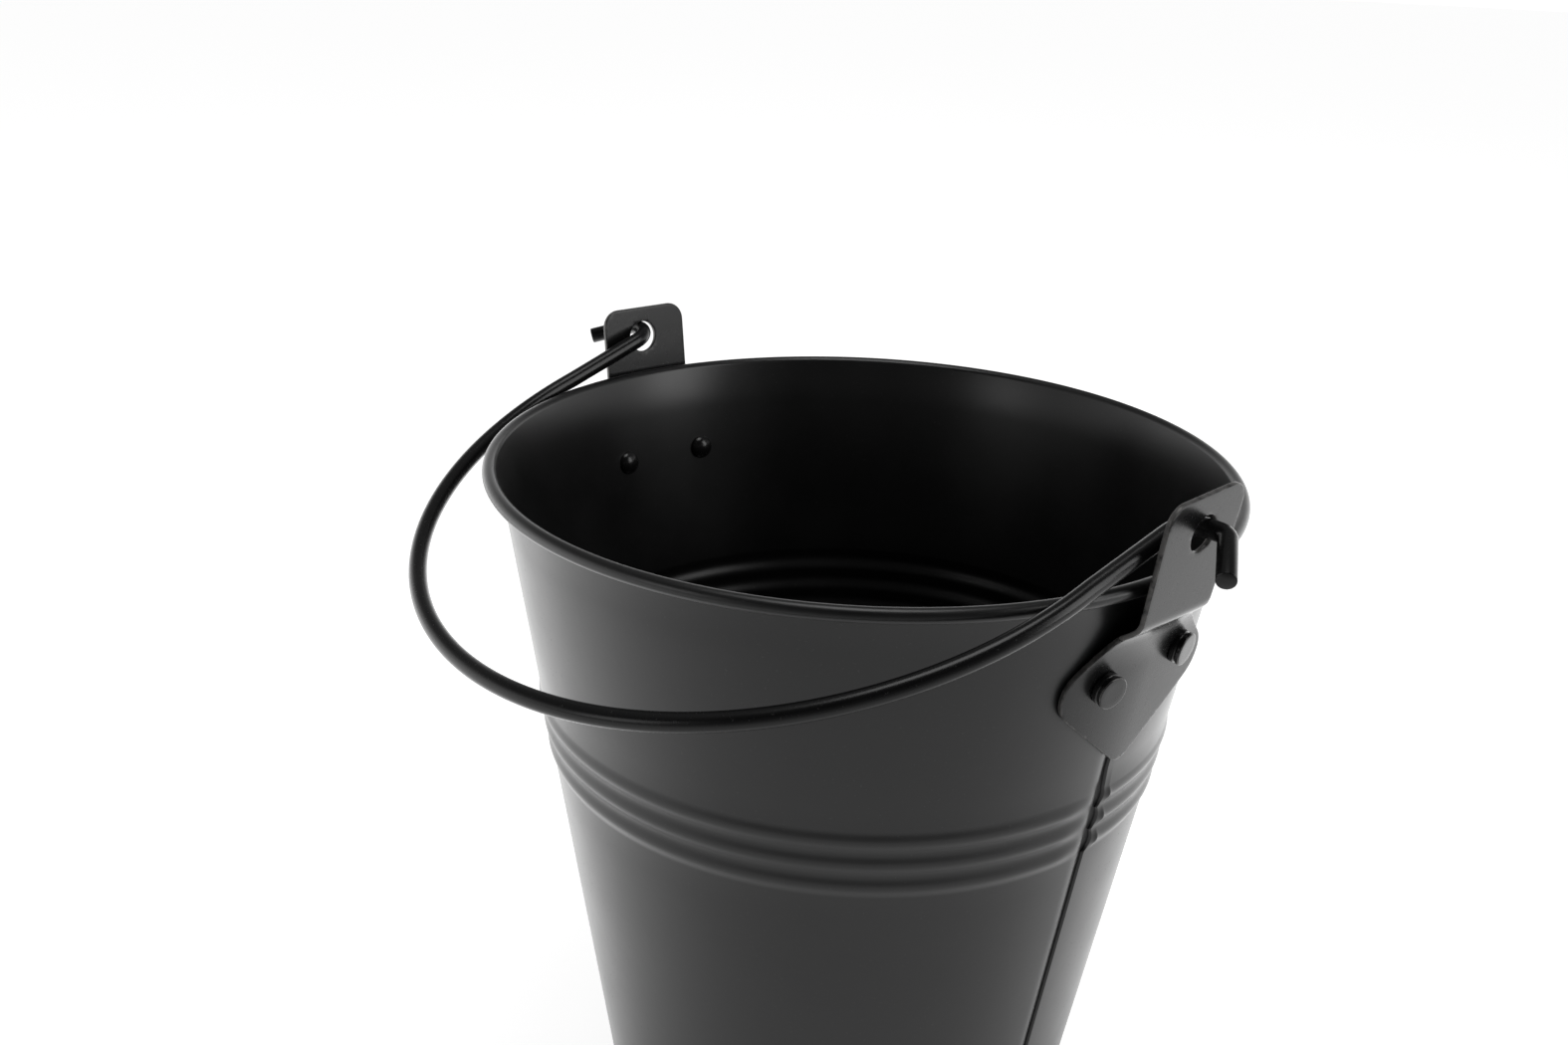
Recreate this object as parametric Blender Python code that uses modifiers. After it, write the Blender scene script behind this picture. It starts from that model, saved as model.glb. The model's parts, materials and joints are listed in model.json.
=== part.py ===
"""Florist's bucket: a tapered sheet-steel pail with a rolled rim, two riveted ears and a wire bail.

Metres, +Z up. The origin is the centre of the base, on the floor. The ears stand at the +X and -X
sides, and the bail turns about a line through their holes, parallel to X. At rest it leans down
towards -Y, just over the rim.
"""

from cmath import phase, rect
from math import atan, cos, pi, radians, sin, tan

import bmesh
import bpy
from mathutils import Vector

MM = 0.001
GAP = 0.3 * MM  # clearance left between neighbouring pieces

# Wall: a cone of sheet, rolled outwards round its rim and lapped at one upright seam
RIM_HEIGHT = 140.0 * MM  # floor to the centre of the rolled rim
RIM_RADIUS = 75.0 * MM  # bucket's axis to the centre of the rolled rim
ROLL_RADIUS = 1.43 * MM  # outside of the roll's round section
ROLL_END = radians(-120)  # where the roll stops, just short of the wall
ROLL_STEPS = 12
SHEET = 0.5 * MM
WALL_RADIUS = 73.3 * MM  # outside of the cone, carried up to the height of the rim
TAPER = 0.1555  # radius gained for each unit of height
NECK_BOTTOM = RIM_HEIGHT - 9.0 * MM  # between these heights the wall flares out to meet the roll
NECK_TOP = RIM_HEIGHT - 2.0 * MM
NECK_STEPS = 3
WALL_COLUMNS = 66
SLOPE = atan(TAPER)
FLARE = RIM_RADIUS - ROLL_RADIUS / cos(SLOPE) + SHEET - WALL_RADIUS

# Three beads are pressed round the wall, one above another, and die away just left of the seam
BEADS = 3
BEAD_BOTTOM = RIM_HEIGHT - 61.5 * MM
BEAD_PITCH = 5.2 * MM
BEAD_HEIGHT = 0.6 * MM
BEAD_STEPS = 4
BEAD_FADE = 10.0 * MM

# The seam is under the +X ear: the sheet's left edge dips and runs on under its right edge
SEAM_ANGLE = radians(1.0)
SEAM_EDGE = 0.0005  # half the angle between the two sides of the step
DIP_WIDTH = 4.0 * MM
OVERLAP = 5.0 * MM

# Base: a pan whose upturned flange fits inside the wall, clear of the lapped seam
PAN_FLANGE = 6.0 * MM
PAN_BEND = 1.0 * MM
PAN_STEPS = 3

# Ears: each a blank of flat sheet, (across, height above the rim's centre), bent to the wall
EAR_SHEET = 1.0 * MM
TAB_HALF = 11.0 * MM
TAB_TOPS = {"right": 16.5 * MM, "left": 15.6 * MM}
TAB_CORNER = 4.0 * MM
TAB_LEAN = 0.135  # outward for each unit of height
TAB_RADIUS = RIM_RADIUS + ROLL_RADIUS + 0.9 * MM  # inside of the tab as it passes the rim
CREASE = -6.0 * MM  # where the tab starts, above the step out from the plate
PLATE_TOP = -8.6 * MM
SIDE_CORNER = (22.0 * MM, -21.0 * MM)
SIDE_ROUND = 6.5 * MM
TIP = -39.5 * MM
TIP_ROUND = 3.2 * MM
SPRING_START = -17.5 * MM  # above this height the plate springs away from the wall
SPRING = 1.6 * MM  # how far it stands off at its top
HOLE_ABOVE_RIM = 9.2 * MM
PIVOT_HOLE = 3.5 * MM
BLANK_BEND = 1.5 * MM  # inside corner between the tab and the plate
BLANK_STRIP = 4.0 * MM  # the plate bends in upright strips this wide
CORNER_STEPS = 4
HOLE_STEPS = 20
STEP_LINES = 3  # levels where the blank bends, in the step and in the sprung part

# Rivets: set by hand, so not quite level or even
RIVETS = {  # name: (side, angle from the ear's middle, height above the rim's centre)
    "rivet_right_front": ("right", radians(-8.2), -19.4 * MM),
    "rivet_right_back": ("right", radians(8.2), -17.2 * MM),
    "rivet_left_front": ("left", radians(9.2), -18.3 * MM),
    "rivet_left_back": ("left", radians(-8.2), -18.3 * MM),
}
SHANK = 1.7 * MM
HEAD_RADIUS = 3.2 * MM
HEAD_THICK = 2.0 * MM
HEAD_ROUND = 0.4 * MM
HEAD_CLEAR = 0.65 * MM  # between the flat head and the curved plate
SNAP_RADIUS = 2.4 * MM
SNAP_THICK = 1.1 * MM
RIVET_STEPS = 20

# Bail: wire bent in one plane, drawn as (along the pivot line, away from it)
WIRE = 1.75 * MM
BAIL_REST = radians(17.9)  # how far below level it lies
BAIL_SKEW = radians(0.5)  # it sits askew in its loose holes, with the +X end further towards +Y
PIVOT = (0.0, 2.4 * MM, RIM_HEIGHT + 10.4 * MM)  # the middle of the pivot line
BOW = 74.2 * MM
LEG = 24.1 * MM
BOW_STEPS = 36
BEND = 2.5 * MM
BEND_STEPS = 4
TAIL_BEND = 81.0 * MM
TAIL_LEAN = radians(48)  # how far the tail turns from the pivot line
TAIL_ENDS = (10.5 * MM, 8.1 * MM)  # how far the +X and -X ends are from the pivot line

# Where the ears stand
EAR_SET = radians(1.75)  # both ears are set this much towards +Y
EARS = {"right": EAR_SET, "left": pi - EAR_SET}  # side: angle round the wall


def clear_scene():
    for item in list(bpy.data.objects):
        bpy.data.objects.remove(item)


def new_collection(name):
    group = bpy.data.collections.new(name)
    bpy.context.scene.collection.children.link(group)
    return group


def metal(name, colour, roughness, metallic):
    """A plain metallic or painted finish."""
    material = bpy.data.materials.new(name)
    material.use_nodes = True
    shader = material.node_tree.nodes["Principled BSDF"]
    shader.inputs["Base Color"].default_value = (*colour, 1.0)
    shader.inputs["Roughness"].default_value = roughness
    shader.inputs["Metallic"].default_value = metallic
    return material


def place(name, data, group, material=None):
    """A new object in its collection, with its finish."""
    item = bpy.data.objects.new(name, data)
    group.objects.link(item)
    if material:
        data.materials.append(material)
    return item


def smooth(mesh):
    mesh.shade_smooth()
    mesh.set_sharp_from_angle(angle=radians(35))


def ease(x):
    """0 to 1 with level ends, as x goes from 0 to 1."""
    x = min(max(x, 0.0), 1.0)
    return x * x * (3.0 - 2.0 * x)


def arc(centre, radius, start, end, steps):
    """Points from one angle to another round a centre."""
    angles = [start + (end - start) * i / steps for i in range(steps + 1)]
    return [(centre[0] + radius * cos(a), centre[1] + radius * sin(a)) for a in angles]


def rounded(corners):
    """The outline through corners (x, y, radius), each one turned into an arc."""
    outline = []
    for i, (x, y, radius) in enumerate(corners):
        here = complex(x, y)
        before = complex(*corners[i - 1][:2]) - here
        after = complex(*corners[(i + 1) % len(corners)][:2]) - here
        before, after = before / abs(before), after / abs(after)
        half = abs(phase(after / before)) / 2
        centre = here + rect(radius / sin(half), phase(before + after))
        first = here + before * radius / tan(half) - centre
        last = here + after * radius / tan(half) - centre
        turn = phase(last / first)
        for j in range(CORNER_STEPS + 1):
            point = centre + first * rect(1.0, turn * j / CORNER_STEPS)
            outline.append((point.real, point.imag))
    return outline


def cone(height):
    """Outside radius of the plain tapered wall."""
    return WALL_RADIUS + TAPER * (height - RIM_HEIGHT)


def bead(height):
    """How far the pressed beads stand out at a height."""
    along = (height - BEAD_BOTTOM) / BEAD_PITCH
    return BEAD_HEIGHT * sin(pi * along) ** 2 if 0.0 < along < BEADS else 0.0


def wall_heights():
    """Heights where the wall's section needs a point, foot to neck."""
    beads = [BEAD_BOTTOM + BEAD_PITCH * i / BEAD_STEPS for i in range(BEADS * BEAD_STEPS + 1)]
    neck = [NECK_BOTTOM + (NECK_TOP - NECK_BOTTOM) * i / NECK_STEPS for i in range(NECK_STEPS + 1)]
    return [0.0] + beads + neck


def wall_section(from_seam):
    """(radius, height) all round the cut sheet, at an angle to the left of the seam."""
    left = from_seam * RIM_RADIUS
    right = (2.0 * pi - from_seam) * RIM_RADIUS
    pressed = ease(left / BEAD_FADE)
    dip = SHEET * (1.0 - ease(left / DIP_WIDTH))
    under = SHEET * (1.0 - ease(right / OVERLAP))
    outside = []
    inside = []
    for height in wall_heights():
        neck = ease((height - NECK_BOTTOM) / (NECK_TOP - NECK_BOTTOM))
        radius = cone(height) + FLARE * neck + bead(height) * pressed
        outside.append((radius - dip * (1.0 - neck), height))
        inside.append((radius - SHEET - (dip + under) * (1.0 - neck), height))
    centre = (RIM_RADIUS, RIM_HEIGHT)
    hollow = arc(centre, ROLL_RADIUS - SHEET, pi - SLOPE, ROLL_END, ROLL_STEPS)
    roll = arc(centre, ROLL_RADIUS, ROLL_END, pi - SLOPE, ROLL_STEPS)
    return outside + hollow + roll + inside[::-1]


def make_wall(group, material):
    """Sections of the cut sheet, lofted right round from one edge of the seam to the other."""
    builder = bmesh.new()
    rows = []
    for i in range(WALL_COLUMNS + 1):
        from_seam = SEAM_EDGE + (2.0 * pi - 2.0 * SEAM_EDGE) * i / WALL_COLUMNS
        angle = SEAM_ANGLE - from_seam
        section = wall_section(from_seam)
        rows.append([builder.verts.new((r * cos(angle), r * sin(angle), z)) for r, z in section])
    for row, following in zip(rows, rows[1:] + rows[:1]):
        for quad in zip(row, row[1:] + row[:1], following[1:] + following[:1], following):
            builder.faces.new(quad)
    bmesh.ops.recalc_face_normals(builder, faces=builder.faces)
    mesh = bpy.data.meshes.new("wall")
    builder.to_mesh(mesh)
    builder.free()
    smooth(mesh)
    return place("wall", mesh, group, material)


def make_turned(name, profile, steps, group, material):
    """A body turned about its own Z from a profile (radius, height) that runs down its outside."""
    mesh = bpy.data.meshes.new(name)
    links = [(i, i + 1) for i in range(len(profile) - 1)]
    mesh.from_pydata([(radius, 0.0, height) for radius, height in profile], links, [])
    body = place(name, mesh, group, material)
    turn = body.modifiers.new("Turn", "SCREW")
    turn.steps = turn.render_steps = steps
    turn.use_merge_vertices = True
    turn.merge_threshold = 0.00001
    turn.use_smooth_shade = True
    return body


def make_base(group, material):
    """The base pan, flat on the floor, with a flange that follows the inside of the wall."""

    def flange(height):
        return cone(height) - 2.0 * SHEET - GAP

    corner = (flange(PAN_BEND) - PAN_BEND, PAN_BEND)
    profile = [(0.0, SHEET)]
    profile += arc(corner, PAN_BEND - SHEET, -pi / 2, 0.0, PAN_STEPS)
    profile += [(flange(PAN_FLANGE) - SHEET, PAN_FLANGE), (flange(PAN_FLANGE), PAN_FLANGE)]
    profile += arc(corner, PAN_BEND, 0.0, -pi / 2, PAN_STEPS)
    profile += [(0.0, 0.0)]
    return make_turned("base_pan", profile, WALL_COLUMNS, group, material)


def ear_blank(side):
    """An ear's flat blank with its pivot hole and two rivet holes, cut along its bend lines."""
    right = [
        (TAB_HALF, TAB_TOPS[side], TAB_CORNER),
        (TAB_HALF, PLATE_TOP, BLANK_BEND),
        (*SIDE_CORNER, SIDE_ROUND),
    ]
    left = [(-x, y, radius) for x, y, radius in reversed(right)]
    holes = [((0.0, HOLE_ABOVE_RIM), PIVOT_HOLE)]
    for ear, turn, rise in RIVETS.values():
        if ear == side:
            holes.append(((cone(RIM_HEIGHT + rise) * turn, rise), SHANK + GAP))
    loops = [rounded(right + [(0.0, TIP, TIP_ROUND)] + left)]
    loops += [arc(centre, size, 0.0, 2.0 * pi, HOLE_STEPS)[:-1] for centre, size in holes]

    builder = bmesh.new()
    for loop in loops:
        ring = [builder.verts.new((x, y, 0.0)) for x, y in loop]
        for start, end in zip(ring, ring[1:] + ring[:1]):
            builder.edges.new((start, end))
    bmesh.ops.triangle_fill(builder, use_beauty=True, edges=builder.edges, normal=(0.0, 0.0, 1.0))

    strips = int(SIDE_CORNER[0] / BLANK_STRIP)
    uprights = [(i * BLANK_STRIP, 0.0) for i in range(-strips, strips + 1)]
    levels = []
    for low, high in ((SPRING_START, PLATE_TOP), (PLATE_TOP, CREASE)):
        levels += [(0.0, low + (high - low) * i / STEP_LINES) for i in range(STEP_LINES)]
    levels.append((0.0, CREASE))
    cuts = [(point, (1.0, 0.0, 0.0)) for point in uprights]
    cuts += [(point, (0.0, 1.0, 0.0)) for point in levels]
    for point, normal in cuts:
        geometry = builder.verts[:] + builder.edges[:] + builder.faces[:]
        bmesh.ops.bisect_plane(builder, geom=geometry, dist=1e-6, plane_co=(*point, 0.0), plane_no=normal)
    return builder


def make_ear(side, group, material):
    """An ear: the blank's plate wraps the wall, steps out under the rim and stands up as a flat tab."""
    builder = ear_blank(side)
    for vertex in builder.verts:
        across, rise, _ = vertex.co
        height = RIM_HEIGHT + rise
        sprung = max(rise - SPRING_START, 0.0) / (PLATE_TOP - SPRING_START)
        radius = cone(height) + GAP + SPRING * sprung**2
        turn = across / cone(height)
        plate = Vector((radius * cos(turn), radius * sin(turn), height))
        tab = Vector((TAB_RADIUS + TAB_LEAN * rise, across, height))
        vertex.co = plate.lerp(tab, min(max((rise - PLATE_TOP) / (CREASE - PLATE_TOP), 0.0), 1.0))
    mesh = bpy.data.meshes.new("ear_" + side)
    builder.to_mesh(mesh)
    builder.free()
    smooth(mesh)
    ear = place("ear_" + side, mesh, group, material)
    ear.rotation_euler.z = EARS[side]
    shell = ear.modifiers.new("Sheet", "SOLIDIFY")
    shell.thickness = EAR_SHEET
    shell.offset = 1.0
    shell.use_even_offset = True
    return ear


def rivet_places():
    """Name, centre on the wall's outside and outward direction of each rivet."""
    places = []
    for name, (side, turn, rise) in RIVETS.items():
        angle = EARS[side] + turn
        radius = cone(RIM_HEIGHT + rise)
        centre = Vector((radius * cos(angle), radius * sin(angle), RIM_HEIGHT + rise))
        outward = Vector((cos(angle), sin(angle), -TAPER)).normalized()
        places.append((name, centre, outward))
    return places


def stand(body, centre, outward):
    """Put a body's origin at a centre, with its Z axis along a direction."""
    body.location = centre
    body.rotation_mode = "QUATERNION"
    body.rotation_quaternion = Vector((0.0, 0.0, 1.0)).rotation_difference(outward)


def make_rivet(name, centre, outward, group, material):
    """A rivet: flat head outside on the ear, domed end inside on the wall."""
    under_head = GAP + EAR_SHEET + HEAD_CLEAR
    top = under_head + HEAD_THICK
    under_snap = -SHEET - GAP
    profile = [(0.0, top)]
    profile += arc((HEAD_RADIUS - HEAD_ROUND, top - HEAD_ROUND), HEAD_ROUND, pi / 2, 0.0, 2)
    profile += [(HEAD_RADIUS, under_head), (SHANK, under_head), (SHANK, under_snap)]
    dome = arc((0.0, 0.0), 1.0, 0.0, -pi / 2, 4)
    profile += [(SNAP_RADIUS * x, under_snap + SNAP_THICK * y) for x, y in dome[:-1]]
    profile += [(0.0, under_snap - SNAP_THICK)]
    rivet = make_turned(name, profile, RIVET_STEPS, group, material)
    stand(rivet, centre, outward)
    return rivet


def drill_wall(wall, cutters):
    """Clearance holes through the wall for the rivets' shanks."""
    for name, centre, outward in rivet_places():
        mesh = bpy.data.meshes.new("hole_" + name)
        builder = bmesh.new()
        bmesh.ops.create_cone(
            builder,
            cap_ends=True,
            segments=RIVET_STEPS,
            radius1=SHANK + GAP,
            radius2=SHANK + GAP,
            depth=12.0 * SHEET,
        )
        builder.to_mesh(mesh)
        builder.free()
        cutter = place("hole_" + name, mesh, cutters)
        stand(cutter, centre, outward)
        cutter.hide_render = True
        cutter.display_type = "WIRE"
        hole = wall.modifiers.new("Hole " + name, "BOOLEAN")
        hole.operation = "DIFFERENCE"
        hole.object = cutter


def half_bail(tail_end):
    """One half of the bail's bent wire, from the tail outside its ear to the middle of the bow."""
    points = [(TAIL_BEND + tail_end / tan(TAIL_LEAN), tail_end)]
    points += arc((TAIL_BEND, BEND), BEND, TAIL_LEAN - pi / 2, -pi / 2, BEND_STEPS)
    points += arc((BOW + BEND, BEND), BEND, -pi / 2, -pi, BEND_STEPS)
    points += arc((0.0, LEG), BOW, 0.0, pi / 2, BOW_STEPS // 2)
    return points


def make_bail(group, material):
    """The wire bail, with its origin in the middle of the pivot line."""
    right, left = (half_bail(tail_end) for tail_end in TAIL_ENDS)
    path = right + [(-along, away) for along, away in reversed(left[:-1])]
    curve = bpy.data.curves.new("bail_handle", "CURVE")
    curve.dimensions = "3D"
    curve.bevel_depth = WIRE
    curve.bevel_resolution = 2
    curve.use_fill_caps = True
    wire = curve.splines.new("POLY")
    wire.points.add(len(path) - 1)
    for point, (along, away) in zip(wire.points, path):
        point.co = (along, -away, 0.0, 1.0)
    bail = place("bail_handle", curve, group, material)
    bail.location = PIVOT
    bail.rotation_euler = (BAIL_REST, 0.0, BAIL_SKEW)
    return bail


def main():
    clear_scene()
    bucket = new_collection("florist_bucket")
    cutters = new_collection("cutters")
    wall_paint = metal("wall_paint", (0.020, 0.020, 0.021), 0.38, 0.0)
    base_paint = metal("base_paint", (0.018, 0.018, 0.019), 0.45, 0.0)
    ear_paint = metal("ear_paint", (0.045, 0.045, 0.047), 0.36, 0.0)
    rivet_steel = metal("rivet_steel", (0.060, 0.060, 0.062), 0.34, 0.3)
    wire_paint = metal("wire_paint", (0.012, 0.012, 0.013), 0.28, 0.0)

    wall = make_wall(bucket, wall_paint)
    drill_wall(wall, cutters)
    make_base(bucket, base_paint)
    for side in EARS:
        make_ear(side, bucket, ear_paint)
    for name, centre, outward in rivet_places():
        make_rivet(name, centre, outward, bucket, rivet_steel)
    make_bail(bucket, wire_paint)


main()
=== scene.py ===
"""Looks of the florist's bucket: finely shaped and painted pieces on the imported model, in a pale studio.

Every piece stands for one CAD node and rides on that node's body. Lengths are in metres, +Z is up,
and the bucket's upright axis is the Z axis. The right ear is on the +X side, above the seam, and the
left ear on the -X side. Left and right of the seam are as seen from outside.
"""

import json
from cmath import phase, rect
from math import cos, exp, hypot, log, pi, radians, sin, sqrt, tan

import bmesh
import bpy
from mathutils import Matrix, Vector
from mathutils.geometry import delaunay_2d_cdt


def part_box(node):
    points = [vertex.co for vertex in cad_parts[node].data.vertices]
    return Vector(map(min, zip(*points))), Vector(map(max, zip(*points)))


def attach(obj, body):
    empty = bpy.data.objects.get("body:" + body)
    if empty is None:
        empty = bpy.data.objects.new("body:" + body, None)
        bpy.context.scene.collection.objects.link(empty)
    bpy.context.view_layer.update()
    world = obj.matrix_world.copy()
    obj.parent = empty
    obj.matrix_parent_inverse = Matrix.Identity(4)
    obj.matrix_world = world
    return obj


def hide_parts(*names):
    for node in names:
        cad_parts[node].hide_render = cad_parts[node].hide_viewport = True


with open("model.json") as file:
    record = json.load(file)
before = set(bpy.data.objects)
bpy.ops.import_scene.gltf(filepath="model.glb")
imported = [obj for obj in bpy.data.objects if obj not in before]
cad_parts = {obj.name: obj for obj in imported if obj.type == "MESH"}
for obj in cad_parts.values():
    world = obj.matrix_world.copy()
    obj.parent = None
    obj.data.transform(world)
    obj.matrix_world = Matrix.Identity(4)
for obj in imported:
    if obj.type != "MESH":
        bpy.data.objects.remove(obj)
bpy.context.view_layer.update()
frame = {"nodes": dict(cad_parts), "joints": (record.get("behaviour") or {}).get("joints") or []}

MM = 0.001


def reach(node):
    """How far a CAD node comes from the bucket's upright axis."""
    return max(hypot(v.co.x, v.co.y) for v in frame["nodes"][node].data.vertices)


# Rolled rim and tapered wall
ROLL_RADIUS = 1.43 * MM
ROLL_END = radians(-120)
RIM_RADIUS = reach("wall") - ROLL_RADIUS
RIM_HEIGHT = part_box("wall")[1].z - ROLL_RADIUS
SHEET = 0.5 * MM
WALL_RADIUS = RIM_RADIUS - 1.7 * MM  # outside of the cone, carried up to the height of the rim
TAPER = 0.1555  # radius gained for each unit of height
NECK_BOTTOM = RIM_HEIGHT - 9.0 * MM  # between these heights the wall flares out to meet the roll
NECK_TOP = RIM_HEIGHT - 2.0 * MM
NECK_SLOPE = radians(16)  # of the wall where it meets the roll
ROLL_START = pi - NECK_SLOPE
# How far the neck's top stands out from the cone, so that it runs smoothly into the roll
FLARE = RIM_RADIUS - ROLL_RADIUS / cos(NECK_SLOPE) + SHEET - WALL_RADIUS
FLARE += (RIM_HEIGHT - NECK_TOP) * (TAPER - tan(NECK_SLOPE))
LOWER_ROWS = 16  # the mesh's rows, foot to neck
BEAD_ROWS = 14
UPPER_ROWS = 8
NECK_ROWS = 8
ROLL_STEPS = (20, 32)  # inside and outside of the roll
FOOT_EDGE = 0.15 * MM  # height of the narrow row at the foot
WALL_CREASE = radians(55)  # sharper angles are shaded as edges

# Beads
BEADS = 3
BEAD_BOTTOM = RIM_HEIGHT - 61.5 * MM
BEAD_PITCH = 5.2 * MM
BEAD_HEIGHT = 0.62 * MM
BEAD_FADE = 10.0 * MM  # left of the seam they die away over this distance
BEAD_START = 2.3 * MM  # right of the seam they rise to full height over this distance
BEAD_DRAW = 1.1 * MM  # each bead has drawn the right edge in by this much
BEAD_LEAST = 0.15  # share of their height that they have at the right edge
BEAD_LIFT = 0.8 * MM  # right of the seam they start this much too high
BEAD_SETTLE = 100.0 * MM  # and come down over this distance
BEAD_BULGE = 0.3  # share by which they bulge where they reach full height
BULGE_WIDTH = 0.8 * MM

# Seam: the left edge dips and runs on under the cut edge of the right side
SEAM_ANGLE = radians(1.2)
SEAM_SHIFT = 0.25 * MM  # from the end of the dip to the cut edge
SEAM_STEP = 0.6 * MM
SEAM_BEVEL = 0.35 * MM  # width of the sheared edge
SHEARED = ((0.0, 1.0), (0.05, 0.7), (0.9, 0.05), (1.2, 0.0))  # its profile, as shares of width and depth
DIP_WIDTH = 4.0 * MM
OVERLAP = 5.0 * MM
HIDDEN_STEP = 0.5 * MM  # width of the step inside, where the overlap ends
FINEST = 0.09 * MM  # width of the mesh's columns at the seam
WIDEST = 1.3 * MM  # and far from it
GROWTH = 1.2

# Base pan
PAN_FLANGE = 6.0 * MM
PAN_BEND = 1.0 * MM
PAN_CLEAR = 0.3 * MM
PAN_CHAMFER = 0.1 * MM
PAN_RINGS = 8
CREASE_ANGLE = radians(50)  # sharper angles on the small pieces are shaded as edges, or rounded

# Ears: each a blank of flat sheet, bent to the wall. Heights are above the rim's centre
EAR_SHEET = 1.0 * MM
EAR_FLAT = 2.0 * MM  # the plate is flatter beyond this far to one side
EAR_CURVE = 0.15  # where it keeps only this share of the wall's curve
EAR_CLEAR = 0.3 * MM
EAR_EDGE = 0.22 * MM  # rounding of the cut edges
EAR_EDGE_STEPS = 3
TAB_HALF = 11.0 * MM
TAB_TAPER = 2.4 * MM  # how much the right ear's tab is narrower at the foot of its right side
TAB_RISE = 1.0 * MM  # and higher at the top of that side
TAB_CORNER = 4.0 * MM
TAB_LEAN = 0.135  # outward for each unit of height
TAB_RADIUS = RIM_RADIUS + ROLL_RADIUS + 0.9 * MM  # inside of the tab as it passes the rim
CREASE = -6.0 * MM
PLATE_TOP = -8.6 * MM
CREASE_ROUND = 0.3 * MM
SIDE_CORNER = (22.0 * MM, -21.0 * MM)
SIDE_ROUND = 6.5 * MM
TIP = -39.5 * MM
TIP_ROUND = 3.2 * MM
SPRING_START = -17.5 * MM  # above this height the plate springs away from the wall
SPRING = 1.6 * MM
HOLES = {"right": (0.4 * MM, 9.4 * MM), "left": (0.75 * MM, 8.8 * MM)}  # side: (across, height)
PIVOT_HOLE = 3.5 * MM
RIVET_CLEAR = 0.1 * MM
BLANK_BEND = 1.3 * MM
EAR_GRID = 1.1 * MM  # spacing of the mesh's points inside the blank
BEND_GRID = 0.35 * MM  # spacing of its rows where the step is bent
BEND_ZONE = (PLATE_TOP - 1.2 * MM, CREASE + 1.0 * MM)
CUT_GRID = 0.9 * MM  # spacing along the cut edges
CUT_CLEAR = 0.55 * MM  # no inside point comes closer to a cut edge
HOLE_STEPS = 40
SAME_POINT = 1e-7  # points of the blank closer than this are one
EAR_SET = radians(1.75)
EARS = {"right": EAR_SET, "left": pi - EAR_SET}  # side: angle round the wall

# Rivets: (side, angle from the ear's middle, height above the rim's centre)
RIVETS = {
    "rivet_right_front": ("right", radians(-8.2), -19.4 * MM),
    "rivet_right_back": ("right", radians(8.2), -17.2 * MM),
    "rivet_left_front": ("left", radians(9.2), -18.3 * MM),
    "rivet_left_back": ("left", radians(-8.2), -18.3 * MM),
}
SHANK = 1.7 * MM
HEAD_RADIUS = 3.2 * MM
HEAD_TOP = 3.6 * MM  # above the wall's outside
HEAD_UNDER = 1.5 * MM
HEAD_ROUND = 0.3 * MM
HEAD_GROOVE = 0.3 * MM
HEAD_CROWN = (0.55, 0.02 * MM)  # at this share of the radius, the face has fallen by this much
HEAD_LIP = 0.15 * MM  # rounding under the head
SNAP_RADIUS = 2.7 * MM  # the rivet's domed end inside the bucket
SNAP_THICK = 1.7 * MM
SNAP_CLEAR = 0.05 * MM

# Bail: wire bent in one plane, (along the pivot line, away from it)
WIRE = 1.75 * MM
BAIL_REST = radians(17.9)  # below level
BOW = 74.2 * MM
LEG = 24.1 * MM
SPLAY = radians(3)  # of each leg, outward towards its ear
BEND = 5.0 * MM
TAIL_BEND = 3.2 * MM
TAIL_LEAN = radians(56.5)
TAILS = ((82.2 * MM, 10.5 * MM), (81.2 * MM, 8.1 * MM))  # right and left: (start along the line, reach)
WIRE_ROUND = 0.2 * MM  # rounding of the cut ends
END_RINGS = (0.3, 1.0)  # its rings, as shares of it
WIRE_STEPS = 28  # round the section
BEND_STEPS = 12
LEG_STEPS = 12
BOW_STEPS = 70
PIVOT = Vector(frame["joints"][0]["pos_m"])
PIVOT_LINE = -Vector(frame["joints"][0]["axis"])  # it points towards +X

# Wear: how far it reaches, and how strong it is
RIM_WEAR = (0.8 * ROLL_RADIUS, 0.5)
FOOT_WEAR = 1.2 * MM
EDGE_WEAR = 0.5 * MM
HEAD_WEAR = 0.8  # share of the head's radius where its edge starts to wear
END_WEAR = 1.2 * WIRE
RUB_WEAR = (1.6 * MM, 0.8)  # of the wire, either side of the middle of the ear's sheet
RUB_PLACE = TAB_RADIUS + 1.5 * MM

# Paint: (size, detail) of each noise, and the part of its values between which a feature appears
CLOUDS = (22.0 * MM, 3.0)
CLOUDY = (0.3, 0.7)
SPECKS = (0.55 * MM, 1.0)
SPECKED = (0.70, 0.76)
PATCHES = (1.6 * MM, 4.0)
WORN = (1.30, 1.55)  # of the patches and the mesh's wear together
GRAIN = (1.1 * MM, 2.0)
SWELL = (4.5 * MM, 1.0)
CLOUD_TINT = (0.75, 1.3)  # darkest and lightest, as shares of the colour
CLOUD_GLOSS = 0.03  # either side of the roughness
DUST_TINT = 0.05  # specks are lighter by this
DUST_COVER = 0.25
ROUGHER = 0.12  # specks and worn places are rougher by this
BARE_STEEL = (0.17, 0.165, 0.16)
BARE_METALLIC = 0.6
SWELL_DEPTH = 1.5  # depth of the swell and of the wear, as shares of the orange peel's
WEAR_DEPTH = 1.5
RANGE_SOCKETS = ("From Min", "From Max", "To Min", "To Max")

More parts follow.
